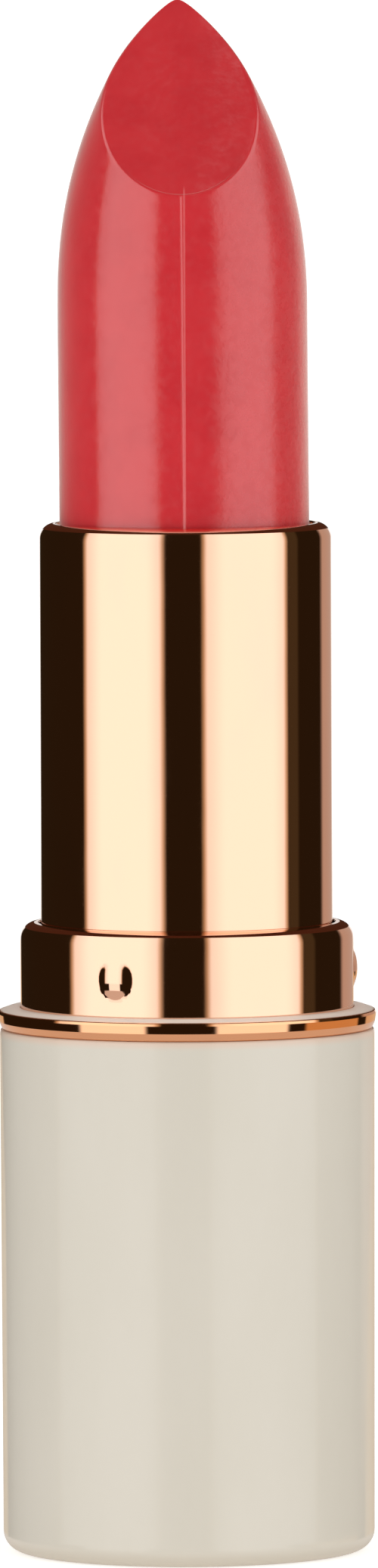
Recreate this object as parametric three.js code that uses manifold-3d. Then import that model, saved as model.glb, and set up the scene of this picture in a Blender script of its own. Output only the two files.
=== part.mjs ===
// A swivel lipstick case standing open, with its bullet wound all the way up.
// Millimetres, +Z up, origin at the centre of the face it stands on. The bullet's slanted facet faces -Y.
//
// Three groups of pieces move against each other:
//   base     the lacquered shell, its liner and weight, the collar and the slotted guide tube
//   barrel   the metal sleeve above the collar and the spiral sleeve inside it, which turn together about Z
//   carrier  the cup, its two pins and the bullet, which ride up and down the guide tube's slots
// The pins pass through the straight slots of the guide tube into the helical slots of the spiral sleeve.
import * as THREE from "three";
import { mergeVertices } from "three/addons/utils/BufferGeometryUtils.js";
import Module from "manifold-3d";

const wasm = await Module();
wasm.setup();

// ---------------------------------------------------------------- driving dimensions
const SIDES = 40; // facets round every turned piece
const GAP = 0.04; // between pieces that touch
const BULLET_R = 6.05; // the standard 12.1 mm bullet
const TRAVEL = 25.6; // how far the carrier winds down
const TWIST = THREE.MathUtils.degToRad(450); // barrel turn for that travel
const LEAD_PER_RADIAN = TRAVEL / TWIST;

// Outside of the case.
const BASE_R = 9.06;
const BASE_FOOT = 1; // rounding at the foot
const RECESS_R = 7; // recess for the shade label
const BASE_TOP = 25.3;
const TRIM_R = 9.16;
const TRIM_BOTTOM = BASE_TOP + GAP;
const TRIM_TOP = 26.39;
const COLLAR_R = 8.05;
const COLLAR_TOP = 30.5;
const BARREL_R = 7.05;
const BARREL_TOP = 49.8;

// Walls.
const BASE_WALL = 0.46;
const COLLAR_WALL = 0.35;
const BARREL_WALL = 0.25;
const SPIRAL_WALL = 0.25;
const GUIDE_WALL = 0.3;
const CUP_WALL = 0.25;

// Radii of the nested tubes, from the barrel inwards.
const BARREL_BORE = BARREL_R - BARREL_WALL;
const SPIRAL_R = BARREL_BORE - 0.02;
const SPIRAL_BORE = SPIRAL_R - SPIRAL_WALL;
const GUIDE_R = SPIRAL_BORE - 0.06;
const GUIDE_BORE = GUIDE_R - GUIDE_WALL;
const CUP_R = GUIDE_BORE - 0.07;
const CUP_BORE = CUP_R - CUP_WALL;
const STEM_R = CUP_BORE - 0.1; // the bullet's foot, held in the cup
const COLLAR_BORE = COLLAR_R - COLLAR_WALL;
const COLLAR_MOUTH = BARREL_R + 0.11;
const COLLAR_BOTTOM = 20;

// Heights inside the base, from the floor up.
const FLOOR_TOP = 0.85;
const LABEL_RECESS = 0.3;
const WEIGHT_TOP = 6.85;
const SOCKET_FLOOR = 8.2;
const THRUST_LEDGE = 12.2;
const WASHER_THICKNESS = 0.25;
const SPIRAL_BOTTOM = THRUST_LEDGE + WASHER_THICKNESS + 0.1;
const SPIRAL_FOOT = 0.35; // thickness of the spiral's flange
const RETAINER_LEDGE = 13;
const BARREL_BOTTOM = 26.1;
const SPIRAL_TOP = 48.8;
const GUIDE_TOP = 48.9;

// Carrier, wound up.
const PIN_Z = 40.2;
const PIN_R = 0.7;
const SLOT_HALF = 0.85; // half width of the straight and helical slots
const CUP_BOTTOM = 38.9;
const CUP_FLOOR = 41.5;
const CUP_TOP = 48.8;

// Bullet nose: a power curve from the shoulder up, fullest behind, cut by a slanted facet.
const SHOULDER_Z = 60.3;
const SIDE_LENGTH = 16.1; // from the shoulder to where the side curve would reach the axis
const FRONT_LENGTH = 16.8; // the same for the front curve
const BACK_LENGTH = 20.2; // and for the back curve
const NOSE_POWER = 2.2;
const FACET_TILT = THREE.MathUtils.degToRad(47.2);
const FACET_Z = 71.75; // where the facet crosses the axis
const NOSE_TOP = 75.6; // above the tip that the facet leaves

// Cap dimples round the collar.
const DIMPLE_R = 0.85;
const DIMPLE_HEIGHT = 0.2;
const DIMPLE_Z = 28.2;
const DIMPLE_ANGLES = [-115.4, 4.6, 124.6].map(THREE.MathUtils.degToRad);

// ---------------------------------------------------------------- materials
function finish(color, roughness, metalness) {
  return new THREE.MeshStandardMaterial({ color, roughness, metalness });
}

const roseGold = finish(0xe8b795, 0.12, 1);
const creamLacquer = finish(0xd8cfc2, 0.18, 0);
const redWax = finish(0xc22f3a, 0.35, 0);
const brass = finish(0xc9a45c, 0.3, 1);
const steel = finish(0x9a9c9f, 0.35, 1);
const whitePlastic = finish(0xe9e7e2, 0.5, 0);
const blackRubber = finish(0x1d1d1d, 0.7, 0);
const paper = finish(0xf4f1ea, 0.8, 0);

// ---------------------------------------------------------------- building blocks
const rz = (radius, z) => new THREE.Vector2(radius, z);

/** Points of a circular arc round (radius, z), from one angle to another in degrees. */
function arc(radius, z, r, from, to, steps = 4) {
  return Array.from({ length: steps + 1 }, (_, i) => {
    const a = THREE.MathUtils.degToRad(from + ((to - from) * i) / steps);
    return rz(radius + r * Math.cos(a), z + r * Math.sin(a));
  });
}

/** A profile turned round the Z axis. It runs anticlockwise in (radius, z), closed off the axis. */
function turned(profile, sides = SIDES) {
  const offAxis = profile[0].x > 0;
  const points = offAxis ? [...profile, profile[0].clone()] : profile;
  return new THREE.LatheGeometry(points, sides).rotateX(Math.PI / 2);
}

/** A plain tube, or a disc where the bore is 0. */
function tube(bore, radius, bottom, top, sides = SIDES) {
  const outside = [rz(radius, bottom), rz(radius, top)];
  return turned([rz(bore, bottom), ...outside, rz(bore, top)], sides);
}

/** A closed geometry as a manifold solid, for cutting and joining. */
function solid(geometry) {
  const bare = geometry.index ? geometry.toNonIndexed() : geometry.clone();
  bare.deleteAttribute("normal");
  bare.deleteAttribute("uv");
  const merged = mergeVertices(bare, 1e-4);
  const vertProperties = merged.attributes.position.array;
  const triVerts = new Uint32Array(merged.index.array);
  return new wasm.Manifold(new wasm.Mesh({ numProp: 3, vertProperties, triVerts }));
}

/** A manifold solid back as a three.js geometry. */
function geometryOf(manifold) {
  const mesh = manifold.getMesh();
  const geometry = new THREE.BufferGeometry();
  geometry.setAttribute("position", new THREE.BufferAttribute(mesh.vertProperties, 3));
  geometry.setIndex(new THREE.BufferAttribute(mesh.triVerts, 1));
  geometry.computeVertexNormals();
  return geometry;
}

/** One geometry with others joined to it and others cut from it. */
function carve(geometry, { add = [], cut = [] }) {
  let made = solid(geometry);
  for (const piece of add) made = made.add(solid(piece));
  for (const piece of cut) made = made.subtract(solid(piece));
  return geometryOf(made);
}

/** A box given by its centre and size. */
function box(x, y, z, width, depth, height) {
  return new THREE.BoxGeometry(width, depth, height).translate(x, y, z);
}

/** Copies of a geometry spread evenly round the Z axis. */
function ringOf(count, make) {
  return Array.from({ length: count }, (_, i) => make().rotateZ((2 * Math.PI * i) / count));
}

// ---------------------------------------------------------------- base
/** Lacquered outer shell: a drawn cup with a rounded foot and a recess below for the shade label. */
function baseShell() {
  const bore = BASE_R - BASE_WALL;
  return turned([
    rz(0, LABEL_RECESS),
    rz(RECESS_R - 0.2, LABEL_RECESS),
    rz(RECESS_R, 0),
    ...arc(BASE_R - BASE_FOOT, BASE_FOOT, BASE_FOOT, -90, 0),
    rz(BASE_R, BASE_TOP - 0.08),
    rz(BASE_R - 0.08, BASE_TOP),
    rz(bore, BASE_TOP),
    rz(bore, FLOOR_TOP + 0.15),
    rz(bore - 0.15, FLOOR_TOP),
    rz(0, FLOOR_TOP),
  ]);
}

/** Moulded liner: a pocket for the weight, a socket for the guide tube and a pocket for the collar. */
function baseLiner() {
  const ribs = 8;
  const bottom = FLOOR_TOP + 0.1;
  const top = BASE_TOP - 0.06;
  const outside = BASE_R - BASE_WALL - 0.2;
  const body = turned([
    rz(7.5, bottom),
    rz(outside, bottom),
    rz(outside, top),
    rz(COLLAR_R + 0.03, top),
    rz(COLLAR_R + 0.03, COLLAR_BOTTOM - 0.2),
    rz(COLLAR_BORE, COLLAR_BOTTOM - 0.2),
    rz(COLLAR_BORE, RETAINER_LEDGE),
    rz(7.5, RETAINER_LEDGE),
    rz(7.5, THRUST_LEDGE),
    rz(GUIDE_R + 0.03, THRUST_LEDGE),
    rz(GUIDE_R + 0.03, SOCKET_FLOOR),
    rz(2, SOCKET_FLOOR),
    rz(2, WEIGHT_TOP + 0.15),
    rz(7.5, WEIGHT_TOP + 0.15),
  ]);
  const height = top - bottom - 1;
  const rib = () => box(outside, 0, bottom + 0.5 + height / 2, 0.34, 0.5, height);
  return carve(body, { add: ringOf(ribs, rib) });
}

/** Steel slug that gives the base its heft. */
function baseWeight() {
  const bottom = FLOOR_TOP + 0.12;
  const chamfer = 0.4;
  return turned([
    rz(0, bottom),
    rz(7.3 - chamfer, bottom),
    rz(7.3, bottom + chamfer),
    rz(7.3, WEIGHT_TOP - chamfer),
    rz(7.3 - chamfer, WEIGHT_TOP),
    rz(0, WEIGHT_TOP),
  ]);
}

/** Drawn collar: rounded shoulder, three cap dimples, and a long skirt hidden in the base. */
function collar() {
  const shoulder = 0.7;
  const plate = 0.4;
  const body = turned([
    rz(COLLAR_BORE, COLLAR_BOTTOM),
    rz(COLLAR_R, COLLAR_BOTTOM),
    ...arc(COLLAR_R - shoulder, COLLAR_TOP - shoulder, shoulder, 0, 90),
    rz(COLLAR_MOUTH + 0.05, COLLAR_TOP),
    rz(COLLAR_MOUTH, COLLAR_TOP - 0.05),
    rz(COLLAR_MOUTH, COLLAR_TOP - plate),
    rz(COLLAR_BORE - 0.2, COLLAR_TOP - plate),
    rz(COLLAR_BORE, COLLAR_TOP - plate - 0.2),
  ]);
  return carve(body, { add: DIMPLE_ANGLES.map(dimple) });
}

/** A spherical cap standing out of the collar's wall at an angle round Z. */
function dimple(angle) {
  const root = 0.2; // how deep it is set into the wall
  const sphere = (DIMPLE_R ** 2 + DIMPLE_HEIGHT ** 2) / (2 * DIMPLE_HEIGHT);
  const edge = THREE.MathUtils.radToDeg(Math.acos(DIMPLE_R / sphere));
  const cap = arc(0, DIMPLE_HEIGHT - sphere, sphere, edge, 90, 4);
  cap[cap.length - 1].x = 0;
  return turned([rz(0, -root), rz(DIMPLE_R, -root), ...cap], 16)
    .rotateY(Math.PI / 2)
    .translate(COLLAR_R, 0, DIMPLE_Z)
    .rotateZ(angle);
}

/** Bead between collar and shell. The cap's rim lands on its flat top, and its foot turns in. */
function trimRing() {
  const bore = COLLAR_R + 0.03;
  const seat = 0.55; // width of the flat top
  const edge = 0.13; // rounding between the sloping shoulder and the band
  const shoulder = TRIM_TOP - 0.18 - edge;
  return turned([
    rz(bore, TRIM_BOTTOM),
    rz(TRIM_R - 0.22, TRIM_BOTTOM),
    rz(TRIM_R - 0.07, TRIM_BOTTOM + 0.34),
    ...arc(TRIM_R - edge, shoulder, edge, 0, 80, 3),
    rz(bore + seat, TRIM_TOP),
    rz(bore, TRIM_TOP),
  ]);
}

/** Sleeve inside the collar. Its foot keeps the spiral's flange down, and its groove holds the ring. */
function collarLiner() {
  const outside = COLLAR_BORE - GAP;
  const bottom = RETAINER_LEDGE + GAP;
  const top = COLLAR_TOP - 0.55;
  const step = BARREL_BOTTOM - 0.15;
  const groove = [rz(COLLAR_MOUTH, 28.5), rz(7.46, 28.5), rz(7.46, 27.9), rz(COLLAR_MOUTH, 27.9)];
  return turned([
    rz(SPIRAL_R + 0.17, bottom),
    rz(outside, bottom),
    rz(outside, top),
    rz(COLLAR_MOUTH, top),
    ...groove,
    rz(COLLAR_MOUTH, step),
    rz(SPIRAL_R + 0.17, step),
  ]);
}

/** Rubber ring that drags on the barrel and holds the bullet where it is wound. */
function frictionRing() {
  const section = 0.18;
  const round = arc(BARREL_R + 0.04 + section, 28.2, section, 0, 360, 8);
  return turned(round.slice(0, -1));
}

/** Flat washer that the spiral's flange turns on. */
function glideWasher() {
  const bottom = THRUST_LEDGE + 0.05;
  return tube(GUIDE_R + 0.08, 7.4, bottom, bottom + WASHER_THICKNESS);
}

/** Guide tube: a drawn cup with two straight slots that the pins run in. */
function guideTube() {
  const bottom = SOCKET_FLOOR + GAP;
  const floor = bottom + GUIDE_WALL;
  const body = turned([
    rz(1.5, bottom),
    rz(GUIDE_R, bottom),
    rz(GUIDE_R, GUIDE_TOP),
    rz(GUIDE_BORE, GUIDE_TOP),
    rz(GUIDE_BORE, floor),
    rz(1.5, floor),
  ]);
  const low = PIN_Z - TRAVEL - SLOT_HALF;
  const high = PIN_Z + SLOT_HALF;
  const slots = box(0, 0, (low + high) / 2, 3 * GUIDE_R, 2 * SLOT_HALF, high - low);
  return carve(body, { cut: [slots] });
}

// ---------------------------------------------------------------- barrel
/** Visible metal sleeve, its top edge rolled in to meet the bullet. */
function barrelShell() {
  const roll = 0.73;
  const lip = BULLET_R + 0.18;
  const inner = roll - BARREL_WALL;
  return turned([
    rz(BARREL_BORE, BARREL_BOTTOM),
    rz(BARREL_R, BARREL_BOTTOM),
    ...arc(BARREL_R - roll, BARREL_TOP - roll, roll, 0, 90),
    rz(lip, BARREL_TOP - 0.05),
    rz(lip, BARREL_TOP - BARREL_WALL),
    ...arc(BARREL_R - roll, BARREL_TOP - roll, inner, 90, 0, 2),
  ]);
}

/** The line that one pin follows in the barrel's own frame, from wound down to wound up. */
class PinPath extends THREE.Curve {
  constructor(start) {
    super();
    this.start = start;
  }

  getPoint(t, target = new THREE.Vector3()) {
    const spare = THREE.MathUtils.degToRad(8); // slot beyond each end of the pin's travel
    const turn = -TWIST - spare + t * (TWIST + 2 * spare);
    const radius = (SPIRAL_R + SPIRAL_BORE) / 2;
    const angle = this.start + turn;
    return target.set(radius * Math.cos(angle), radius * Math.sin(angle), PIN_Z + LEAD_PER_RADIAN * turn);
  }
}

/** Spiral sleeve: two helical slots half a turn apart, and a flange at its foot. */
function spiralSleeve() {
  const foot = SPIRAL_BOTTOM + SPIRAL_FOOT;
  const body = turned([
    rz(SPIRAL_BORE, SPIRAL_BOTTOM),
    rz(7.4, SPIRAL_BOTTOM),
    rz(7.4, foot),
    rz(SPIRAL_R, foot),
    rz(SPIRAL_R, SPIRAL_TOP),
    rz(SPIRAL_BORE, SPIRAL_TOP),
  ]);
  const section = new THREE.Shape().absarc(0, 0, SLOT_HALF, 0, 2 * Math.PI);
  const helix = (start) =>
    new THREE.ExtrudeGeometry(section, { curveSegments: 4, steps: 52, extrudePath: new PinPath(start) });
  return carve(body, { cut: [helix(0), helix(Math.PI)] });
}

// ---------------------------------------------------------------- carrier
/** Cup that holds the bullet's foot, with a floor part-way up and a hole for each pin in its skirt. */
function carrierCup() {
  const floorTop = CUP_FLOOR + 0.35;
  const body = turned([
    rz(CUP_BORE, CUP_BOTTOM),
    rz(CUP_R, CUP_BOTTOM),
    rz(CUP_R, CUP_TOP),
    rz(CUP_BORE, CUP_TOP),
    rz(CUP_BORE, floorTop),
    rz(1.5, floorTop),
    rz(1.5, CUP_FLOOR),
    rz(CUP_BORE, CUP_FLOOR),
  ]);
  const ribHeight = CUP_TOP - floorTop - 0.6;
  const rib = () => box(CUP_BORE, 0, (floorTop + CUP_TOP) / 2, 0.12, 0.5, ribHeight).rotateZ(Math.PI / 4);
  const bore = new THREE.CylinderGeometry(PIN_R + 0.03, PIN_R + 0.03, 3 * CUP_R, 16)
    .rotateZ(Math.PI / 2)
    .translate(0, 0, PIN_Z);
  return carve(body, { add: ringOf(4, rib), cut: [bore] });
}

/** Drive pin along +X: a head inside the cup's skirt and a shank through both sleeves. */
function carrierPin() {
  const reach = BARREL_BORE - 0.08;
  const headOut = CUP_BORE - 0.15;
  return turned([
    rz(0, headOut - 0.4),
    rz(1, headOut - 0.4),
    rz(1.1, headOut - 0.3),
    rz(1.1, headOut),
    rz(PIN_R, headOut),
    rz(PIN_R, reach - 0.1),
    rz(PIN_R - 0.1, reach),
    rz(0, reach),
  ], 16).rotateY(Math.PI / 2);
}

/** Wax bullet: foot in the cup, straight stem, then a pointed nose with a slanted facet in front. */
function bullet() {
  const foot = CUP_FLOOR + 0.45;
  const seat = CUP_TOP + 0.1;
  const rows = 14;
  const rowHeight = (NOSE_TOP - SHOULDER_Z) / rows;
  const nose = Array.from({ length: rows }, (_, i) => rz(BULLET_R, SHOULDER_Z + rowHeight * (i + 1)));
  const blank = turned([
    rz(0, foot),
    rz(STEM_R - 0.3, foot),
    rz(STEM_R, foot + 0.3),
    rz(STEM_R, seat),
    rz(BULLET_R, seat),
    rz(BULLET_R, SHOULDER_Z),
    ...nose,
    rz(0, NOSE_TOP),
  ]);
  const taper = (z, length) => 1 - Math.max(0, (z - SHOULDER_Z) / length) ** NOSE_POWER;
  const position = blank.attributes.position;
  for (let i = 0; i < position.count; i++) {
    const z = position.getZ(i);
    const y = position.getY(i);
    position.setX(i, position.getX(i) * taper(z, SIDE_LENGTH));
    position.setY(i, y * taper(z, y > 0 ? BACK_LENGTH : FRONT_LENGTH));
  }
  const size = 40;
  const facet = box(0, 0, size / 2, size, size, size)
    .rotateX(FACET_TILT)
    .translate(0, 0, FACET_Z);
  return carve(blank, { cut: [facet] });
}

// ---------------------------------------------------------------- assembly
const lipstick = new THREE.Group();

/** Adds one named mesh to a group. */
function piece(group, name, geometry, material) {
  const mesh = new THREE.Mesh(geometry, material);
  mesh.name = name;
  group.add(mesh);
  return mesh;
}

const base = new THREE.Group();
piece(base, "base_shell", baseShell(), creamLacquer);
piece(base, "base_liner", baseLiner(), whitePlastic);
piece(base, "base_weight", baseWeight(), steel);
piece(base, "shade_label", tube(0, RECESS_R - 0.3, 0.12, 0.22), paper);
piece(base, "collar", collar(), roseGold);
piece(base, "trim_ring", trimRing(), roseGold);
piece(base, "collar_liner", collarLiner(), whitePlastic);
piece(base, "friction_ring", frictionRing(), blackRubber);
piece(base, "glide_washer", glideWasher(), whitePlastic);
piece(base, "guide_tube", guideTube(), brass);

const barrel = new THREE.Group();
piece(barrel, "barrel_shell", barrelShell(), roseGold);
piece(barrel, "spiral_sleeve", spiralSleeve(), brass);

const carrier = new THREE.Group();
piece(carrier, "carrier_cup", carrierCup(), brass);
for (const [side, angle] of [["right", 0], ["left", Math.PI]]) {
  const pin = piece(carrier, `carrier_pin_${side}`, carrierPin(), steel);
  pin.position.z = PIN_Z;
  pin.rotation.z = angle;
}
piece(carrier, "bullet", bullet(), redWax);

lipstick.add(base, barrel, carrier);

export default lipstick;
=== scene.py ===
"""A swivel lipstick standing open: the looks of its pieces, a plain floor and soft studio light.

Each sub-assembly is a class that models its pieces round the fixed frame and dresses them in finishes.
Lengths are in metres. +Z is up, and the bullet's slanted facet looks along -Y, towards the camera.
"""

import logging
import math
from collections.abc import Callable, Iterable, Sequence
from dataclasses import dataclass, field
from enum import Enum
from typing import Any

import bmesh
import bpy
from mathutils import Matrix, Vector


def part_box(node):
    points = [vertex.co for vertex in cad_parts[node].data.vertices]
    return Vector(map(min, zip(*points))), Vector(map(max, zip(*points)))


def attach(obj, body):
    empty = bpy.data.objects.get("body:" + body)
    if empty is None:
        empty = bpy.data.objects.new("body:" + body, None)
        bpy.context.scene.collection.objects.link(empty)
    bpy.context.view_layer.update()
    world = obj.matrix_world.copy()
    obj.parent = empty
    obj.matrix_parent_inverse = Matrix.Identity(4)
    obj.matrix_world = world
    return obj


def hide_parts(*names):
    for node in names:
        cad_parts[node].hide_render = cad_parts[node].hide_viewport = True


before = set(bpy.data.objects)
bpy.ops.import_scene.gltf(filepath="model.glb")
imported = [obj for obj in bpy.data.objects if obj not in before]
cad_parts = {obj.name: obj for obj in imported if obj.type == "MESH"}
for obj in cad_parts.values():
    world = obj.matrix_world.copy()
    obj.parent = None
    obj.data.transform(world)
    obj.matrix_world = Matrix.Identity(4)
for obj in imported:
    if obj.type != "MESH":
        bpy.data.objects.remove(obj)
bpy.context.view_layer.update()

log = logging.getLogger("lipstick")
MM = 0.001
MICRON = 0.001 * MM
SIDES = 192  # of each turned ring
FACET_Z = 71.75 * MM  # where the bullet's facet crosses the axis
FACET_SLOPE = math.tan(math.radians(47.2))
Colour = tuple[float, float, float]
Input = Any


# ---------------------------------------------------------------------------------------------- shader graphs
class Value:
    """A number socket of a shader graph, which takes part in sums like a Python number."""

    def __init__(self, graph: "Graph", socket: bpy.types.NodeSocket) -> None:
        """Wraps a socket of a graph."""
        self.graph = graph
        self.socket = socket

    def _with(self, operation: str, *others: Input, first: Input = None) -> "Value":
        """Adds one Math node.

        Args:
            operation: the Math node's operation.
            others: the numbers or values after this one.
            first: a number or value that goes before this one.

        Returns:
            The node's result.
        """
        terms = [self, *others] if first is None else [first, self]
        return self.graph.add("ShaderNodeMath", {"operation": operation}, dict(enumerate(terms)))

    def __add__(self, other: Input) -> "Value":
        """The sum of both."""
        return self._with("ADD", other)

    def __radd__(self, other: Input) -> "Value":
        """The sum of both."""
        return self._with("ADD", other)

    def __sub__(self, other: Input) -> "Value":
        """This less the other."""
        return self._with("SUBTRACT", other)

    def __rsub__(self, other: Input) -> "Value":
        """The other less this."""
        return self._with("SUBTRACT", first=other)

    def __mul__(self, other: Input) -> "Value":
        """The product of both."""
        return self._with("MULTIPLY", other)

    def __rmul__(self, other: Input) -> "Value":
        """The product of both."""
        return self._with("MULTIPLY", other)

    def __abs__(self) -> "Value":
        """The size of this, without its sign."""
        return self._with("ABSOLUTE")

    def angle(self, other: Input) -> "Value":
        """The angle of the point (other, this), in radians."""
        return self._with("ARCTAN2", other)

    def root(self) -> "Value":
        """The square root of this."""
        return self._with("SQRT")

    def ramp(self, start: float, end: float, low: float = 0.0, high: float = 1.0) -> "Value":
        """Turns smoothly from one value to another.

        Args:
            start: where the turn starts.
            end: where it ends.
            low: the value up to start.
            high: the value from end on.

        Returns:
            The smoothed value.
        """
        settings = {"interpolation_type": "SMOOTHSTEP"}
        turned = end < start
        sockets = {0: self, 1: end if turned else start, 2: start if turned else end}
        sockets |= {3: high if turned else low, 4: low if turned else high}
        return self.graph.add("ShaderNodeMapRange", settings, sockets)

    def band(self, start: float, end: float, edge: float) -> "Value":
        """1 between start and end and 0 outside, with soft edges.

        Args:
            start: where the band starts.
            end: where it ends.
            edge: the width of each soft edge.

        Returns:
            The band's mask.
        """
        rise = self.ramp(start - edge / 2, start + edge / 2)
        return rise * self.ramp(end - edge / 2, end + edge / 2, 1.0, 0.0)


class Graph:
    """The node tree of a material or of the world."""

    def __init__(self, tree: bpy.types.NodeTree) -> None:
        """Empties a node tree and takes it over."""
        self.tree = tree
        tree.nodes.clear()

    def add(self, kind: str, settings: dict[str, Any], sockets: dict[Any, Input], output: Any = 0) -> Value:
        """Adds one node.

        Args:
            kind: the node's type.
            settings: properties that are set before its sockets.
            sockets: a value or a link for each input socket, by name or place.
            output: the output socket that is wanted, by name or place.

        Returns:
            That output.
        """
        node = self.tree.nodes.new(kind)
        for name, value in settings.items():
            setattr(node, name, value)
        for place, value in sockets.items():
            if isinstance(value, Value):
                self.tree.links.new(value.socket, node.inputs[place])
            else:
                node.inputs[place].default_value = value
        found = [s for s in node.outputs if s.enabled]
        if not found:
            return Value(self, None)
        return Value(self, node.outputs[output] if isinstance(output, str) else found[output])

    def place(self, part: str = "Object") -> Value:
        """The coordinates of the point that is shaded."""
        return self.add("ShaderNodeTexCoord", {}, {}, part)

    def path(self, question: str) -> Value:
        """1 where the answer about the ray that is traced is yes, and 0 elsewhere."""
        return self.add("ShaderNodeLightPath", {}, {}, question)

    def parts(self, vector: Value) -> tuple[Value, Value, Value]:
        """The x, y and z of a vector."""
        split = self.add("ShaderNodeSeparateXYZ", {}, {0: vector})
        node = split.socket.node
        return tuple(Value(self, s) for s in node.outputs)

    def noise(self, vector: Value, size: float, detail: float = 2.0, stretch: Colour = (1, 1, 1)) -> Value:
        """Soft random blotches between 0 and 1.

        Args:
            vector: the coordinates.
            size: how large one blotch is.
            detail: how many finer layers it has.
            stretch: how much longer it is along x, y and z.

        Returns:
            The noise.
        """
        scale = tuple(1 / s for s in stretch)
        turned = self.add("ShaderNodeMapping", {}, {"Vector": vector, "Scale": scale})
        sockets = {"Vector": turned, "Scale": 1 / size, "Detail": detail, "Roughness": 0.55}
        return self.add("ShaderNodeTexNoise", {}, sockets, "Fac")

    def mix(self, factor: Input, low: Input, high: Input) -> Value:
        """A colour between two, by a factor from 0 to 1."""
        sockets = {0: factor, 6: _rgba(low), 7: _rgba(high)}
        return self.add("ShaderNodeMix", {"data_type": "RGBA"}, sockets, "Result")

    def bump(
        self, height: Value, distance: float, strength: float = 1.0, under: Value | None = None
    ) -> Value:
        """A normal that follows a height.

        Args:
            height: the height, in steps of distance.
            distance: how far a height of 1 stands out, in metres.
            strength: how much of it is used.
            under: a normal that this one lies on.

        Returns:
            The normal.
        """
        sockets = {"Strength": strength, "Distance": distance, "Height": height}
        if under is not None:
            sockets["Normal"] = under
        return self.add("ShaderNodeBump", {}, sockets)


def _rgba(colour: Input) -> Input:
    """A colour with its alpha, or the value itself where it is a link."""
    return colour if isinstance(colour, Value) or len(colour) == 4 else (*colour, 1.0)


def linear(red: int, green: int, blue: int) -> Colour:
    """A screen colour from 0 to 255 as linear light."""
    parts = [c / 255 for c in (red, green, blue)]
    return tuple(c / 12.92 if c <= 0.04045 else ((c + 0.055) / 1.055) ** 2.4 for c in parts)


# ---------------------------------------------------------------------------------------------- finishes
@dataclass(frozen=True)
class Finish:
    """A surface finish: what every kind of finish shares."""

    name: str
    slot: str

    def material(self) -> bpy.types.Material:
        """Makes the finish's material, or finds it where it is made already.

        Returns:
            The material.
        """
        made = bpy.data.materials.get(self.name)
        if made is None:
            made = bpy.data.materials.new(self.name)
            made.use_nodes = True
            graph = Graph(made.node_tree)
            surface = graph.add("ShaderNodeBsdfPrincipled", {}, self.surface(graph))
            graph.add("ShaderNodeOutputMaterial", {}, {"Surface": surface})
        return made

    def surface(self, graph: Graph) -> dict[str, Input]:
        """The sockets of the shader.

        Args:
            graph: the material's graph.

        Returns:
            A value or link for each socket by name.
        """
        raise NotImplementedError


@dataclass(frozen=True)
class PolishedMetal(Finish):
    """Anodised metal, polished to a mirror, with faint handling haze and a trace of waviness."""

    colour: Colour = (0.93, 0.58, 0.42)
    haze: Colour = (0.88, 0.56, 0.42)
    roughness: float = 0.045
    wave: float = 0.003 * MM

    def surface(self, graph: Graph) -> dict[str, Input]:
        """The sockets of the shader, as every finish gives them."""
        at = graph.place()
        smear = graph.noise(at, 3.5 * MM, 3, (1, 1, 2.5)).ramp(0.45, 0.8)
        speck = graph.noise(at, 0.12 * MM, 2).ramp(0.62, 0.8)
        waves = graph.noise(at, 2.4 * MM, 1)
        fine = graph.noise(at, 0.05 * MM, 1)
        return {
            "Base Color": graph.mix(smear, self.colour, self.haze),
            "Metallic": 1.0,
            "Roughness": self.roughness + 0.03 * smear + 0.05 * speck,
            "Normal": graph.bump(waves + 0.015 * fine, self.wave),
        }


@dataclass(frozen=True)
class TurnedTrim(PolishedMetal):
    """Polished metal whose top, above a height, is left satin from the tool and painted a pale, nearly
    non-metallic cream: a painted highlight for the thin light line along the flat top.
    """

    # painted highlight: a pale cream for the light line that the bead's flat top reflects
    satin: Colour = (0.93, 0.84, 0.76)
    satin_and_highlight_from: float = 26.22 * MM
    satin_and_highlight_to: float = 26.28 * MM

    def surface(self, graph: Graph) -> dict[str, Input]:
        """The sockets of the shader, as every finish gives them."""
        sockets = super().surface(graph)
        _, _, z = graph.parts(graph.place())
        # above this height the top is satin and painted pale: rougher, nearly non-metallic, a painted
        # highlight
        top = z.ramp(self.satin_and_highlight_from, self.satin_and_highlight_to)
        sockets["Base Color"] = graph.mix(top, sockets["Base Color"], self.satin)
        sockets["Roughness"] = sockets["Roughness"] + 0.4 * top
        sockets["Metallic"] = 1 - 0.9 * top
        return sockets


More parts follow.
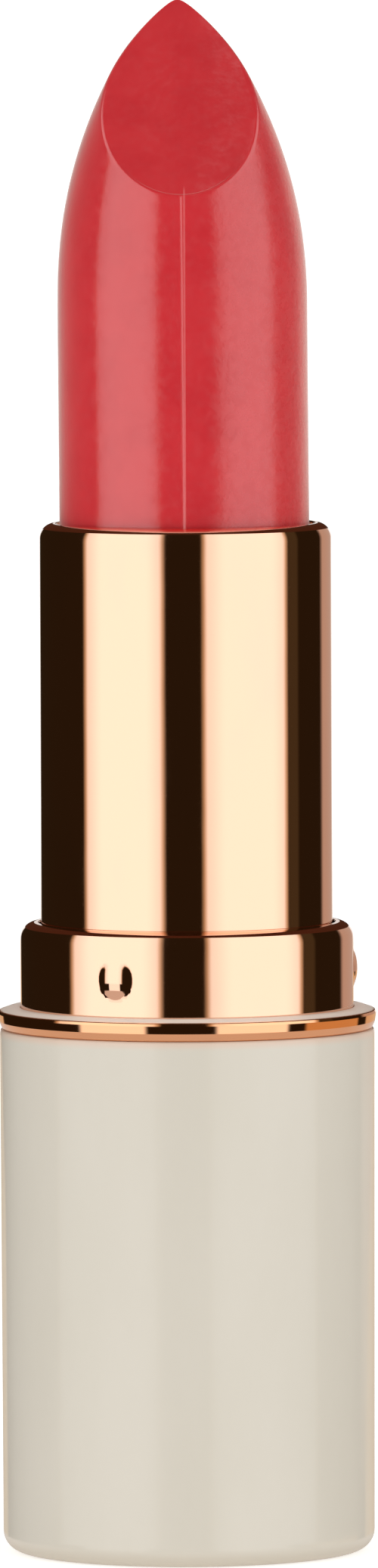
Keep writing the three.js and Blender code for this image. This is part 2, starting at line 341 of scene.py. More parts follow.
@dataclass(frozen=True)
class Lacquer(Finish):
    """Cream lacquer: a soft gloss and faint clouding, a peach band painted at its top as the reflection of
    the copper above it, and painted shade at its foot, where its coat is also thinner.
    """

    colour: Colour = linear(215, 209, 197)
    cloud: Colour = linear(212, 206, 193)
    # painted reflection: the peach glow of the copper bead on the gloss just under it, painted into the
    # colour
    painted_copper_reflection: Colour = (0.82, 0.5, 0.36)
    painted_copper_reflection_share: float = 0.45
    painted_copper_reflection_from: float = 24.85 * MM
    painted_copper_reflection_to: float = 25.3 * MM
    # painted shade: the cream made darker at the foot, next to the floor
    painted_foot_shade: Colour = linear(198, 190, 176)
    painted_foot_shade_to: float = 0.3 * MM
    painted_foot_shade_from: float = 1.0 * MM

    def surface(self, graph: Graph) -> dict[str, Input]:
        """The sockets of the shader, as every finish gives them."""
        at = graph.place()
        cloud = graph.noise(at, 5 * MM, 9, (1, 1, 3)).ramp(0.3, 0.75)
        peel = graph.noise(at, 0.5 * MM, 2)
        dust = graph.noise(at, 0.1 * MM, 1).ramp(0.68, 0.76)
        _, _, z = graph.parts(at)
        # painted reflection of the copper bead, blended into the colour just under the bead
        painted_copper_reflection = self.painted_copper_reflection_share * z.ramp(self.painted_copper_reflection_from, self.painted_copper_reflection_to)
        # painted shade, darker towards the foot; the same mask also thins the coat there
        foot = z.ramp(self.painted_foot_shade_to, self.painted_foot_shade_from, 1.0, 0.0)
        body = graph.mix(foot, graph.mix(cloud, self.colour, self.cloud), self.painted_foot_shade)
        return {
            "Base Color": graph.mix(painted_copper_reflection, body, self.painted_copper_reflection),
            "Roughness": 0.34 + 0.03 * cloud + 0.08 * dust,
            "IOR": 1.3,
            "Coat Weight": 0.6 - 0.5 * foot,
            "Coat Roughness": 0.04,
            "Normal": graph.bump(peel, 0.0012 * MM),
        }


@dataclass(frozen=True)
class Wax(Finish):
    """Moulded lipstick wax: red, satin, mottled where it has sweated, and with a painted highlight along its
    mould seam.

    Its body is a little hollow on both sides of the seam, and its facet is cut clean, without sweat.
    """

    colour: Colour = linear(206, 46, 54)
    deep: Colour = linear(200, 41, 50)
    # painted highlight: the pale pink of the light that the raised mould seam catches, painted into the
    # colour
    seam: Colour = linear(226, 110, 112)
    seam_width: float = 0.06 * MM
    front: float = -5.0 * MM
    sweat_from: float = 0.8 * MM
    sweat_to: float = 2.5 * MM
    hollow_left: tuple[float, float] = (-3.0 * MM, 0.2 * MM)
    hollow_right: tuple[float, float] = (-0.4 * MM, 5.0 * MM)
    left_depth: float = 0.1
    right_depth: float = 0.7

    def surface(self, graph: Graph) -> dict[str, Input]:
        """The sockets of the shader, as every finish gives them."""
        at = graph.place()
        x, y, z = graph.parts(at)
        cloud = graph.noise(at, 2.2 * MM, 3).ramp(0.35, 0.7)
        sweat = graph.noise(at, 0.4 * MM, 4).ramp(0.35, 0.75)
        smear = graph.noise(at, 1.1 * MM, 3, (1, 1, 2.5))
        pores = graph.noise(at, 0.09 * MM, 2)
        # painted highlight along the mould seam, on the front of the bullet only
        line = abs(x).ramp(self.seam_width * 0.4, self.seam_width, 1.0, 0.0)
        seam = line * y.ramp(self.front, self.front - 0.3 * MM)
        body = graph.mix(cloud, self.colour, self.deep)
        below_facet = (z - FACET_SLOPE * y).ramp(FACET_Z - 0.3 * MM, FACET_Z - 0.1 * MM, 1.0, 0.0)
        sweaty = x.ramp(self.sweat_from, self.sweat_to) * below_facet
        left = x.ramp(*self.hollow_left, self.left_depth, 0.0)
        right = x.ramp(*self.hollow_right, 0.0, self.right_depth)
        hollow = graph.bump(left + right, 1 * MM)
        normal = graph.bump((1 + 2 * sweaty) * sweat + 2 * smear, 0.002 * MM, under=hollow)
        return {
            # the seam's painted highlight is mixed into the body colour here
            "Base Color": graph.mix(0.6 * seam, body, self.seam),
            "Roughness": 0.13 + 0.1 * sweat + 0.12 * sweaty,
            "IOR": 1.8,
            "Sheen Weight": 1.0,
            "Sheen Roughness": 0.32,
            "Sheen Tint": (1.0, 0.88, 0.82, 1.0),
            "Subsurface Weight": 0.12,
            "Subsurface Radius": (1.0, 0.25, 0.2),
            "Subsurface Scale": 0.6 * MM,
            "Normal": graph.bump(pores, 0.0007 * MM, under=normal),
        }


@dataclass(frozen=True)
class Plain(Finish):
    """A moulded, drawn or printed inner piece: one colour with a little clouding and a fine grain."""

    colour: Colour = (0.8, 0.8, 0.8)
    metallic: float = 0.0
    roughness: float = 0.5
    grain: Colour = (1, 1, 1)

    def surface(self, graph: Graph) -> dict[str, Input]:
        """The sockets of the shader, as every finish gives them."""
        at = graph.place()
        cloud = graph.noise(at, 3 * MM, 3).ramp(0.3, 0.7)
        grain = graph.noise(at, 0.15 * MM, 2, self.grain)
        darker = tuple(0.86 * c for c in self.colour)
        return {
            "Base Color": graph.mix(cloud, self.colour, darker),
            "Metallic": self.metallic,
            "Roughness": self.roughness - 0.06 + 0.12 * grain,
            "Normal": graph.bump(grain, 0.01 * MM, 0.5),
        }


ROSE_GOLD = PolishedMetal("rose_gold_polish", "rose_gold")
COPPER = TurnedTrim("copper_polish", "copper_trim", colour=(0.94, 0.5, 0.28), haze=(0.9, 0.48, 0.28))
CREAM = Lacquer("cream_lacquer_gloss", "cream_lacquer")
RED_WAX = Wax("red_wax_satin", "red_wax")
DRAWN_BRASS = Plain("drawn_brass", "brass", (0.75, 0.52, 0.2), 1.0, 0.28, (1, 1, 6))
TURNED_STEEL = Plain("turned_steel", "steel", (0.52, 0.53, 0.54), 1.0, 0.35, (3, 3, 1))
WHITE_MOULDING = Plain("white_moulding", "white_plastic", (0.8, 0.79, 0.76), 0.0, 0.45)
BLACK_RUBBER = Plain("black_rubber_matte", "black_rubber", (0.02, 0.02, 0.02), 0.0, 0.7)
LABEL_PAPER = Plain("label_paper_matte", "label_paper", (0.88, 0.87, 0.83), 0.0, 0.75)


# ---------------------------------------------------------------------------------------------- modelling
@dataclass(frozen=True)
class Corner:
    """One corner of a turned profile: its radius and height, and how far it is rounded."""

    radius: float
    height: float
    rounding: float = 0.0
    steps: int = 8


def on_ring(place: Vector, radius: float, height: float) -> bool:
    """Whether a point lies on the ring of some radius and height, within a micrometre."""
    return abs(place.xy.length - radius) < MICRON and abs(place.z - height) < MICRON


class Work:
    """A mesh object that is worked on in edit mode, the way it is done by hand."""

    def __init__(self, name: str) -> None:
        """Takes over the active object, just added, and names it."""
        self.object = bpy.context.active_object
        self.object.name = name
        self.object.data.name = name
        bpy.ops.object.mode_set(mode="EDIT")

    def select(self, test: Callable[[Vector], bool], kind: str = "VERT") -> int:
        """Selects by place and drops every other selection.

        Args:
            test: says whether a point is wanted. An edge or face is selected when all its corners are.
            kind: VERT, EDGE or FACE.

        Returns:
            How many vertices are selected.
        """
        bpy.ops.mesh.select_mode(type=kind)
        bpy.ops.mesh.select_all(action="DESELECT")
        mesh = bmesh.from_edit_mesh(self.object.data)
        wanted = {v for v in mesh.verts if test(v.co)}
        groups = {"VERT": mesh.verts, "EDGE": mesh.edges, "FACE": mesh.faces}
        for part in groups[kind]:
            corners = [part] if kind == "VERT" else part.verts
            if all(v in wanted for v in corners):
                part.select_set(True)
        mesh.select_flush_mode()
        bmesh.update_edit_mesh(self.object.data)
        return len(wanted)

    def select_ring(self, radius: float, height: float) -> int:
        """Selects the ring of edges at a radius and a height."""
        return self.select(lambda co: on_ring(co, radius, height), "EDGE")

    def extrude_ring(self, start: Corner, end: Corner) -> None:
        """Extrudes the selected ring from one corner of a profile to the next."""
        bpy.ops.mesh.extrude_edges_move(TRANSFORM_OT_translate={"value": (0, 0, end.height - start.height)})
        scale = end.radius / start.radius
        bpy.ops.transform.resize(value=(scale, scale, 1), center_override=(0, 0, 0))

    def done(self, smooth: float = 35.0) -> bpy.types.Object:
        """Closes edit mode, merges doubles, turns the faces outwards and shades them.

        Args:
            smooth: edges up to this many degrees are shaded smooth.

        Returns:
            The finished object, at the origin.
        """
        bpy.ops.mesh.select_mode(type="VERT")
        bpy.ops.mesh.select_all(action="SELECT")
        bpy.ops.mesh.remove_doubles(threshold=1e-7)
        bpy.ops.mesh.normals_make_consistent(inside=False)
        bpy.ops.object.mode_set(mode="OBJECT")
        bpy.ops.object.transform_apply(location=True, rotation=True, scale=True)
        bpy.ops.object.shade_smooth_by_angle(angle=math.radians(smooth))
        return self.object


def clear_selection() -> None:
    """Leaves edit mode and deselects everything."""
    if bpy.context.object and bpy.context.object.mode != "OBJECT":
        bpy.ops.object.mode_set(mode="OBJECT")
    bpy.ops.object.select_all(action="DESELECT")


def turned(name: str, profile: Sequence[Corner]) -> Work:
    """Turns a closed profile into a ring-shaped body.

    Args:
        name: the object's name.
        profile: its corners, in order round the section, all off the axis.

    Returns:
        The body, still in edit mode.
    """
    clear_selection()
    first = profile[0]
    bpy.ops.mesh.primitive_circle_add(vertices=SIDES, radius=first.radius)
    work = Work(name)
    bpy.ops.mesh.select_all(action="SELECT")
    bpy.ops.transform.translate(value=(0, 0, first.height))
    for start, end in zip(profile, profile[1:]):
        work.extrude_ring(start, end)
    last = profile[-1]
    ends = {(first.radius, first.height), (last.radius, last.height)}
    work.select(lambda co: any(on_ring(co, radius, height) for radius, height in ends), "EDGE")
    bpy.ops.mesh.bridge_edge_loops()
    round_corners(work, profile)
    return work


def round_corners(work: Work, profile: Iterable[Corner]) -> None:
    """Bevels each ring of a turned body that has a rounding."""
    for corner in profile:
        if corner.rounding > 0 and work.select_ring(corner.radius, corner.height):
            bpy.ops.mesh.bevel(offset=corner.rounding, segments=corner.steps, affect="EDGES")


def wall(radius: float, low: float, high: float, hold: float, count: int) -> list[Corner]:
    """Rings along a straight wall, close to both ends and evenly between, that keep its shading straight.

    Args:
        radius: the wall's radius.
        low: where the wall starts.
        high: where it ends.
        hold: how far the first and last ring are from the ends.
        count: how many rings there are between those.

    Returns:
        The rings, from start to end.
    """
    step = math.copysign(hold, high - low)
    start, end = low + step, high - step
    return [Corner(radius, start + (end - start) * i / (count + 1)) for i in range(count + 2)]


def dress(piece: bpy.types.Object, finish: Finish, body: str, *nodes: str) -> bpy.types.Object:
    """Gives a new piece its finish, and says what it moves with and what it stands for.

    Args:
        piece: the new piece.
        finish: its finish.
        body: the body that it moves with.
        nodes: the frame's nodes that it replaces.

    Returns:
        The piece.
    """
    piece.data.materials.clear()
    piece.data.materials.append(finish.material())
    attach(piece, body)
    if nodes:
        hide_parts(*nodes)
    log.info("%s: %d faces, %s, moves with %s", piece.name, len(piece.data.polygons), finish.name, body)
    return piece


@dataclass(frozen=True)
class Extent:
    """The radius and the lowest and highest point of a turned node of the frame."""

    radius: float
    low: float
    high: float

    @classmethod
    def of(cls, node: str) -> "Extent":
        """The extent of a node, at rest."""
        low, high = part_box(node)
        return cls((high.y - low.y) / 2, low.z, high.z)


# ---------------------------------------------------------------------------------------------- base
@dataclass
class Base:
    """The lacquered shell, the bead on top of it and the collar with its cap dimples."""

    shell: Extent
    ring: Extent
    collar: Extent
    shell_wall: float = 0.46 * MM
    foot_rounding: float = 1.0 * MM
    draft: float = 0.07 * MM
    floor: float = 0.85 * MM
    recess_radius: float = 7.0 * MM
    recess_depth: float = 0.3 * MM
    collar_wall: float = 0.35 * MM
    collar_radius: float = 8.05 * MM
    collar_rounding: float = 0.73 * MM
    collar_mouth: float = 7.16 * MM
    dimple_radius: float = 0.88 * MM
    dimple_height: float = 0.22 * MM
    dimple_wall: float = 0.12 * MM
    dimple_sunk: float = 0.004 * MM
    dimple_z: float = 28.2 * MM
    dimple_angles: tuple[float, ...] = (-115.4, 4.6, 124.6)

    def build(self) -> list[bpy.types.Object]:
        """Models and dresses the pieces.

        Returns:
            The pieces.
        """
        return [
            dress(self.make_shell(), CREAM, "base", "base_shell"),
            dress(self.make_ring(), COPPER, "base", "trim_ring"),
            dress(self.make_collar(), ROSE_GOLD, "base", "collar"),
        ]

    def make_shell(self) -> bpy.types.Object:
        """The lacquered cup: a rounded foot with a shallow recess, a thin wall and a softened top edge."""
        out, bore = self.shell.radius, self.shell.radius - self.shell_wall
        low, high = self.shell.low, self.shell.high
        rim = self.ring.low - 0.005 * MM
        side = [
            Corner(out - self.draft * (high - ring.height) / (high - low), ring.height)
            for ring in wall(out, low + self.foot_rounding, high - 0.12 * MM, 0.15 * MM, 6)
        ]
        tiny = 0.02 * MM
        profile = [
            Corner(tiny, low + self.recess_depth),
            Corner(self.recess_radius - 0.2 * MM, low + self.recess_depth, 0.1 * MM, 3),
            Corner(self.recess_radius, low, 0.1 * MM, 4),
            Corner(out - self.draft, low, self.foot_rounding, 14),
            *side,
            Corner(out, rim, 0.12 * MM, 6),
            Corner(bore, rim, 0.08 * MM, 3),
            Corner(bore, low + self.floor, 0.1 * MM, 3),
            Corner(tiny, low + self.floor),
        ]
        work = turned("base_shell_lacquered", profile)
        work.select(lambda co: co.xy.length < 2 * tiny, "FACE")
        bpy.ops.mesh.delete(type="ONLY_FACE")
        for height in (low + self.recess_depth, low + self.floor):
            work.select_ring(tiny, height)
            bpy.ops.mesh.edge_face_add()
        return work.done()

    def make_ring(self) -> bpy.types.Object:
        """The bead: a flat seat for the cap, a sloping shoulder, a narrow band and a foot that turns in."""
        out, low, high = self.ring.radius, self.ring.low, self.ring.high
        bore = self.collar_radius + 0.03 * MM
        profile = [
            Corner(bore, low),
            Corner(out - 0.22 * MM, low, 0.05 * MM, 4),
            Corner(out - 0.07 * MM, low + 0.34 * MM, 0.08 * MM, 6),
            Corner(out, high - 0.18 * MM, 0.13 * MM, 10),
            Corner(bore + 0.55 * MM, high, 0.06 * MM, 4),
            Corner(bore, high, 0.04 * MM, 3),
        ]
        return turned("trim_ring_bead", profile).done()

    def make_collar(self) -> bpy.types.Object:
        """The drawn collar: a rounded shoulder turned in towards the barrel, and three raised dimples."""
        out, bore = self.collar_radius, self.collar_radius - self.collar_wall
        low, high = self.collar.low, self.collar.high
        plate = 0.4 * MM
        profile = [
            Corner(bore, low),
            Corner(out, low, 0.05 * MM, 2),
            *wall(out, low, high - self.collar_rounding, 0.12 * MM, 4),
            Corner(out, high, self.collar_rounding, 16),
            Corner(self.collar_mouth, high, 0.06 * MM, 4),
            Corner(self.collar_mouth, high - plate),
            Corner(bore, high - plate, 0.15 * MM, 3),
        ]
        body = turned("collar_drawn", profile).done()
        dimples = [self.make_dimple(math.radians(angle)) for angle in self.dimple_angles]
        return joined(body, dimples)

    def make_dimple(self, angle: float) -> bpy.types.Object:
        """One dimple: a patch of the collar's wall, pushed out in a soft round and thickened inwards.

        Args:
            angle: where it stands round the collar.

        Returns:
            The dimple, a closed body whose rim lies just under the wall.
        """
        clear_selection()
        reach = 1.7 * self.dimple_radius
        rim = self.collar_radius - self.dimple_sunk
        tall = 2 * reach
        bpy.ops.mesh.primitive_cylinder_add(vertices=480, radius=rim, depth=tall, end_fill_type="NOTHING")
        work = Work("dimple")
        work.select(lambda co: not (co.x > 0 and abs(co.y) < reach), "VERT")
        bpy.ops.mesh.delete(type="VERT")
        slices = 30
        for i in range(1, slices):
            bpy.ops.mesh.select_all(action="SELECT")
            height = -reach + tall * i / slices
            bpy.ops.mesh.bisect(plane_co=(0, 0, height), plane_no=(0, 0, 1))
        centre = Vector((rim, 0, 0))
        mesh = bmesh.from_edit_mesh(work.object.data)
        nearest = min((v.co - centre).length for v in mesh.verts)
        work.select(lambda co: (co - centre).length < nearest + 1e-7, "VERT")
        bpy.ops.transform.translate(
            value=(self.dimple_height, 0, 0),
            use_proportional_edit=True,
            proportional_edit_falloff="INVERSE_SQUARE",
            proportional_size=self.dimple_radius,
        )
        bpy.ops.mesh.select_all(action="SELECT")
        bpy.ops.transform.translate(value=(0, 0, self.dimple_z))
        piece = work.done()
        solidify = piece.modifiers.new("thickness", "SOLIDIFY")
        solidify.thickness = self.dimple_wall
        solidify.offset = -1
        bpy.ops.object.modifier_apply(modifier=solidify.name)
        bpy.ops.transform.rotate(value=-angle, orient_axis="Z", center_override=(0, 0, 0))
        bpy.ops.object.transform_apply(location=True, rotation=True, scale=True)
        return piece


def joined(body: bpy.types.Object, others: Iterable[bpy.types.Object]) -> bpy.types.Object:
    """Joins other objects into one.

    Args:
        body: the object that keeps its name.
        others: the objects that become part of it.

    Returns:
        The joined object.
    """
    clear_selection()
    for other in others:
        other.select_set(True)
    body.select_set(True)
    bpy.context.view_layer.objects.active = body
    bpy.ops.object.join()
    return body


# ---------------------------------------------------------------------------------------------- barrel
@dataclass
class Barrel:
    """The polished sleeve above the collar, which turns with the spiral inside it."""

    sleeve: Extent
    wall: float = 0.25 * MM
    roll: float = 0.73 * MM
    mouth: float = 6.23 * MM

    def build(self) -> bpy.types.Object:
        """Models and dresses the sleeve.

        Returns:
            The sleeve.
        """
        out, bore = self.sleeve.radius, self.sleeve.radius - self.wall
        low, high = self.sleeve.low, self.sleeve.high
        profile = [
            Corner(bore, low, 0.05 * MM, 2),
            Corner(out, low, 0.08 * MM, 4),
            *wall(out, low + 0.08 * MM, high - self.roll, 0.12 * MM, 6),
            Corner(out, high, self.roll, 18),
            Corner(self.mouth, high, 0.08 * MM, 5),
            Corner(self.mouth, high - self.wall),
            Corner(bore, high - self.wall, self.roll - self.wall, 6),
        ]
        return dress(turned("barrel_sleeve", profile).done(), ROSE_GOLD, "barrel", "barrel_shell")


# ---------------------------------------------------------------------------------------------- carrier
@dataclass
class Bullet:
    """The moulded stick: a stem in the cup, a straight body, and a pointed nose cut by a slanted facet."""

    stick: Extent
    radius: float = 6.03 * MM
    stem_radius: float = 5.75 * MM
    seat: float = 48.9 * MM
    shoulder: float = 60.3 * MM
    side_length: float = 16.1 * MM
    front_length: float = 16.8 * MM
    back_length: float = 20.1 * MM
    power: float = 2.2
    facet_rim: float = 0.13 * MM
    rows: int = 20
    row: float = 0.4 * MM
    lean: float = 0.006
    play: float = 0.105 * MM
    nose_lean: float = 0.13 * MM
    nose_bend: float = 1.4
    seam_width: float = 0.045 * MM
    seam_height: float = 0.013 * MM

    def build(self) -> bpy.types.Object:
        """Models and dresses the bullet.

        Returns:
            The bullet.
        """
        clear_selection()
        foot = self.stick.low
        bpy.ops.mesh.primitive_circle_add(vertices=SIDES, radius=self.stem_radius, fill_type="NGON")
        work = Work("bullet_wax")
        bpy.ops.mesh.select_all(action="SELECT")
        bpy.ops.transform.translate(value=(0, 0, foot))
        work.select_ring(self.stem_radius, foot)
        stem = Corner(self.stem_radius, foot)
        seat = Corner(self.stem_radius, self.seat)
        step = Corner(self.radius, self.seat)
        straight = wall(self.radius, self.seat, self.shoulder, 0.1 * MM, 10)
        for start, end in zip([stem, seat, step, *straight], [seat, step, *straight]):
            work.extrude_ring(start, end)
        self.raise_nose(work, straight[-1].height)
        self.soften_facet(work)
        self.raise_seam(work)
        self.tilt(work)
        work.select_ring(self.stem_radius, foot)
        bpy.ops.mesh.bevel(offset=0.3 * MM, segments=4, affect="EDGES")
        return dress(work.done(28), RED_WAX, "carrier", "bullet")

    def taper(self, height: float, length: float) -> float:
        """How much of the full radius is left at a height, for a nose of some length."""
        return 1 - max(0.0, (height - self.shoulder) / length) ** self.power

    def over_facet(self, place: Vector) -> float:
        """How far a point lies above the plane of the facet."""
        return place.z - FACET_Z - place.y * FACET_SLOPE

    def skin(self, turn: float, height: float) -> Vector:
        """A point of the nose before the facet is cut, fullest behind.

        Args:
            turn: its angle round Z.
            height: its height.

        Returns:
            The point.
        """
        length = self.back_length if math.sin(turn) > 0 else self.front_length
        x = self.radius * self.taper(height, self.side_length) * math.cos(turn)
        y = self.radius * self.taper(height, length) * math.sin(turn)
        return Vector((x, y, height))

    def rim(self, turn: float) -> float:
        """The height where the skin meets the facet, halved down to from both sides."""
        low, high = self.shoulder, self.shoulder + self.side_length
        for _ in range(32):
            middle = (low + high) / 2
            if self.over_facet(self.skin(turn, middle)) < 0:
                low = middle
            else:
                high = middle
        return low

    def raise_nose(self, work: Work, start: float) -> None:
        """Extrudes the nose row by row, closes it, and draws each row in between the shoulder and the facet.

        Args:
            work: the bullet, with its top ring selected.
            start: the height of that ring.
        """
        for _ in range(self.rows):
            bpy.ops.mesh.extrude_edges_move(TRANSFORM_OT_translate={"value": (0, 0, self.row)})
        bpy.ops.mesh.edge_face_add()
        mesh = bmesh.from_edit_mesh(work.object.data)
        for corner in mesh.verts:
            share = round((corner.co.z - start) / self.row) / self.rows
            if share > 0:
                turn = math.atan2(corner.co.y, corner.co.x)
                corner.co = self.skin(turn, start + (self.rim(turn) - start) * share)
        bmesh.update_edit_mesh(work.object.data)

    def soften_facet(self, work: Work) -> None:
        """Rounds the rim of the facet."""
        work.select(lambda co: co.z > self.shoulder and abs(self.over_facet(co)) < 2 * MICRON, "EDGE")
        bpy.ops.mesh.bevel(offset=self.facet_rim, segments=5, affect="EDGES")

    def tilt(self, work: Work) -> None:
        """Lets the bullet stand a little to one side in its bore, and its nose lean the same way."""
        mesh = bmesh.from_edit_mesh(work.object.data)
        nose = FACET_Z - self.shoulder
        for corner in mesh.verts:
            above_shoulder = max(0.0, corner.co.z - self.shoulder)
            body = min(self.lean * (corner.co.z - self.stick.low), self.play)
            corner.co.x -= body + self.nose_lean * (above_shoulder / nose) ** self.nose_bend
        bmesh.update_edit_mesh(work.object.data)

    def raise_seam(self, work: Work) -> None:
        """Raises the thin line where the halves of the mould met, down the front and the back of the body."""
        reach = 2 * MICRON
        full = 0.7 * self.radius
        for side in (-1, 1):

            def on_seam(place: Vector) -> bool:
                """Whether a point lies on this side's seam."""
                return abs(place.x) < reach and place.y * side > full and place.z > self.seat - reach

            work.select(on_seam, "EDGE")
            bpy.ops.mesh.bevel(offset=self.seam_width, segments=2, affect="EDGES")
            work.select(on_seam, "VERT")
            bpy.ops.transform.translate(value=(0, side * self.seam_height, 0))


# ---------------------------------------------------------------------------------------------- inner pieces
INNER_FINISHES: dict[str, Finish] = {
    "base_liner": WHITE_MOULDING,
    "base_weight": TURNED_STEEL,
    "shade_label": LABEL_PAPER,
    "collar_liner": WHITE_MOULDING,
    "friction_ring": BLACK_RUBBER,
    "glide_washer": WHITE_MOULDING,
    "guide_tube": DRAWN_BRASS,
    "spiral_sleeve": DRAWN_BRASS,
    "carrier_cup": DRAWN_BRASS,
    "carrier_pin_left": TURNED_STEEL,
    "carrier_pin_right": TURNED_STEEL,
}


def dress_inner_pieces() -> None:
    """Gives each node that keeps its own shape its finish."""
    for name, finish in INNER_FINISHES.items():
        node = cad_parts[name]
        if not node.material_slots:
            node.data.materials.append(finish.material())
        for slot in node.material_slots:
            slot.material = finish.material()
        log.info("%s: kept, %s", name, finish.name)


# ---------------------------------------------------------------------------------------------- studio
class Row(Enum):
    """The rows of panels round the object.

    Each value is where a row starts: the tilt in degrees of a mirror that shows its lower edge to the camera.
    """

    TABLE = -90.0
    LOW = -13.0
    MAIN = -3.5
    HIGH = 41.0
    CEILING = 80.0


@dataclass(frozen=True)
class Panel:
    """One panel of the studio, lit or black.

    It is placed by the turn of an upright mirror at the object that shows it to the camera: 0 is a mirror
    that faces the camera, and the turn grows to the camera's right. So a panel's edge falls on the polished
    sleeves as a straight line, round their rolled lips as well.
    """

    row: Row
    start: float
    end: float
    light: Colour
    edge: float = 2.0


def warm(strength: float) -> Colour:
    """The amber fringe of a lit panel, at some strength."""
    return (strength, 0.7 * strength, 0.42 * strength)


def neutral(strength: float) -> Colour:
    """The light of a lit panel."""
    return (strength, 0.985 * strength, 0.96 * strength)


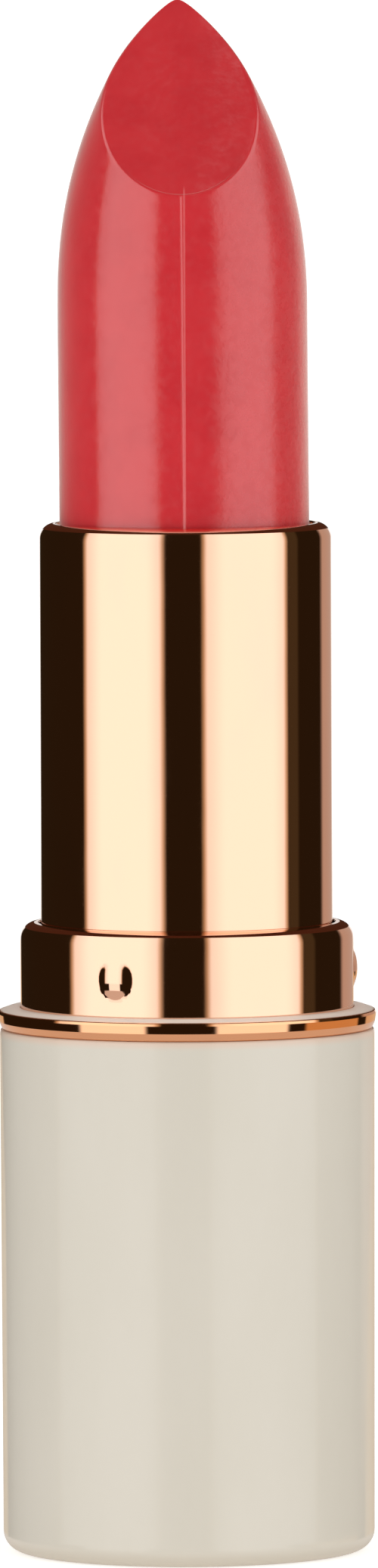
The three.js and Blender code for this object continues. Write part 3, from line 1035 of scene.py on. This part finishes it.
@dataclass
class Studio:
    """The camera, the pale floor and the light."""

    distance: float = 0.8
    elevation: float = 3.6
    target: Vector = field(default_factory=lambda: Vector((0.13, 0, 37.15)) * MM)
    lens: float = 380.0
    roll: float = -0.22
    black: Colour = (0.021, 0.012, 0.005)
    brown: Colour = (0.066, 0.022, 0.011)
    ceiling: Colour = (0.8, 0.78, 0.76)
    table: Colour = (0.68, 0.58, 0.52)
    floor_gap: float = 0.02 * MM
    soft_around: float = 0.69
    soft_above: float = 0.6
    soft_table: Colour = (0.62, 0.58, 0.54)
    panels: list[Panel] = field(
        default_factory=lambda: [
            Panel(Row.MAIN, -92, -85, neutral(1.0)),
            Panel(Row.MAIN, -44, -8.6, warm(0.6)),
            Panel(Row.MAIN, -42.7, -9.9, neutral(1.1)),
            Panel(Row.MAIN, -39, -12, neutral(1.5), 9),
            Panel(Row.MAIN, 6.5, 43.9, warm(0.6)),
            Panel(Row.MAIN, 7.8, 42.4, neutral(1.16)),
            Panel(Row.MAIN, 12, 40, neutral(1.48), 9),
            Panel(Row.MAIN, 44.5, 50, (0.06, 0.04, 0.018)),
            Panel(Row.MAIN, 68, 92, (0.52, 0.38, 0.31), 4),
            Panel(Row.MAIN, 84, 92, neutral(1.0)),
            Panel(Row.LOW, -34.4, -12.7, neutral(1.3)),
            Panel(Row.LOW, 9, 32.2, neutral(1.3)),
            Panel(Row.LOW, 38.9, 64.4, (0.65, 0.36, 0.15)),
            Panel(Row.LOW, -92, -76.5, warm(0.7)),
            Panel(Row.LOW, 71, 92, warm(0.7)),
        ]
    )

    def build(self) -> None:
        """Sets up the camera, the floor and the light."""
        self.place_camera()
        self.light_world()
        self.lay_floor()

    def towards_camera(self) -> Vector:
        """The direction from the object to the camera."""
        up = math.radians(self.elevation)
        return Vector((0, -math.cos(up), math.sin(up)))

    def place_camera(self) -> None:
        """Puts the camera in front, a little above, with a long lens."""
        clear_selection()
        place = self.towards_camera() * self.distance + self.target
        bpy.ops.object.camera_add(location=place)
        camera = bpy.context.active_object
        look = (self.target - place).to_track_quat("-Z", "Y").to_matrix().to_4x4()
        roll = Matrix.Rotation(math.radians(self.roll), 4, "Z")
        camera.matrix_world = Matrix.Translation(place) @ look @ roll
        camera.data.lens = self.lens
        camera.data.sensor_width = 36
        camera.data.clip_start = 0.05
        camera.data.clip_end = 50
        bpy.context.scene.camera = camera
        log.info("camera: %.0f mm lens, %.2f m away", self.lens, self.distance)

    def light_world(self) -> None:
        """Surrounds the object with panels for what mirrors it and with an even soft light for the rest."""
        world = bpy.data.worlds.new("studio")
        world.use_nodes = True
        scene = bpy.context.scene
        scene.world = world
        graph = Graph(world.node_tree)
        direction = graph.place("Generated")
        shade = self.reflected(graph, direction)
        shade = graph.mix(graph.path("Is Diffuse Ray"), shade, self.soft(graph, direction))
        shade = graph.mix(graph.path("Is Camera Ray"), shade, (1.0, 1.0, 1.0))
        background = graph.add("ShaderNodeBackground", {}, {"Color": shade, "Strength": 1.0})
        graph.add("ShaderNodeOutputWorld", {}, {"Surface": background})
        scene.view_settings.view_transform = "Standard"
        log.info("light: %d panels", len(self.panels))

    def reflected(self, graph: Graph, direction: Value) -> Value:
        """What a polished surface sees.

        Args:
            graph: the world's graph.
            direction: where it looks.

        Returns:
            The colour of the panel there.
        """
        sockets = {0: direction, 1: self.towards_camera()}
        x, y, z = graph.parts(graph.add("ShaderNodeVectorMath", {"operation": "ADD"}, sockets))
        turn = x.angle(-1 * y) * (180 / math.pi)
        tilt = z.angle((x * x + y * y).root()) * (180 / math.pi)
        rows: dict[Row, Input] = {
            Row.TABLE: self.table,
            Row.LOW: self.black,
            Row.MAIN: self.black,
            Row.HIGH: self.brown,
            Row.CEILING: self.ceiling,
        }
        for panel in self.panels:
            mask = turn.band(panel.start, panel.end, panel.edge)
            rows[panel.row] = graph.mix(mask, rows[panel.row], panel.light)
        shade = rows[Row.TABLE]
        for row in (Row.LOW, Row.MAIN, Row.HIGH, Row.CEILING):
            shade = graph.mix(tilt.ramp(row.value - 0.5, row.value + 0.5), shade, rows[row])
        return shade

    def soft(self, graph: Graph, direction: Value) -> Value:
        """The even light that falls on matt surfaces: a little weaker from above, warm from the table.

        Args:
            graph: the world's graph.
            direction: where the light comes from.

        Returns:
            Its colour.
        """
        _, _, z = graph.parts(direction)
        above = graph.mix(z.ramp(0.4, 0.9), neutral(self.soft_around), neutral(self.soft_above))
        return graph.mix(z.ramp(-0.1, -0.5), above, self.soft_table)

    def lay_floor(self) -> None:
        """Lays the pale floor, several metres wide."""
        clear_selection()
        bpy.ops.mesh.primitive_grid_add(x_subdivisions=8, y_subdivisions=8, size=16)
        floor = bpy.context.active_object
        floor.location.z = -self.floor_gap
        floor.name = "studio_floor"
        floor.visible_glossy = False
        material = bpy.data.materials.new("pale_floor")
        material.use_nodes = True
        graph = Graph(material.node_tree)
        sockets = {"Base Color": (0.86, 0.86, 0.86, 1), "Roughness": 0.9, "Specular IOR Level": 0.1}
        sockets |= {"Emission Color": (1, 1, 1, 1), "Emission Strength": 0.5}
        surface = graph.add("ShaderNodeBsdfPrincipled", {}, sockets)
        graph.add("ShaderNodeOutputMaterial", {}, {"Surface": surface})
        floor.data.materials.append(material)


def main() -> None:
    """Builds the studio and every sub-assembly, and reports each piece."""
    logging.basicConfig(level=logging.INFO, format="%(name)s: %(message)s")
    Studio().build()
    Base(Extent.of("base_shell"), Extent.of("trim_ring"), Extent.of("collar")).build()
    Barrel(Extent.of("barrel_shell")).build()
    Bullet(Extent.of("bullet")).build()
    dress_inner_pieces()


if __name__ == "__main__":
    main()
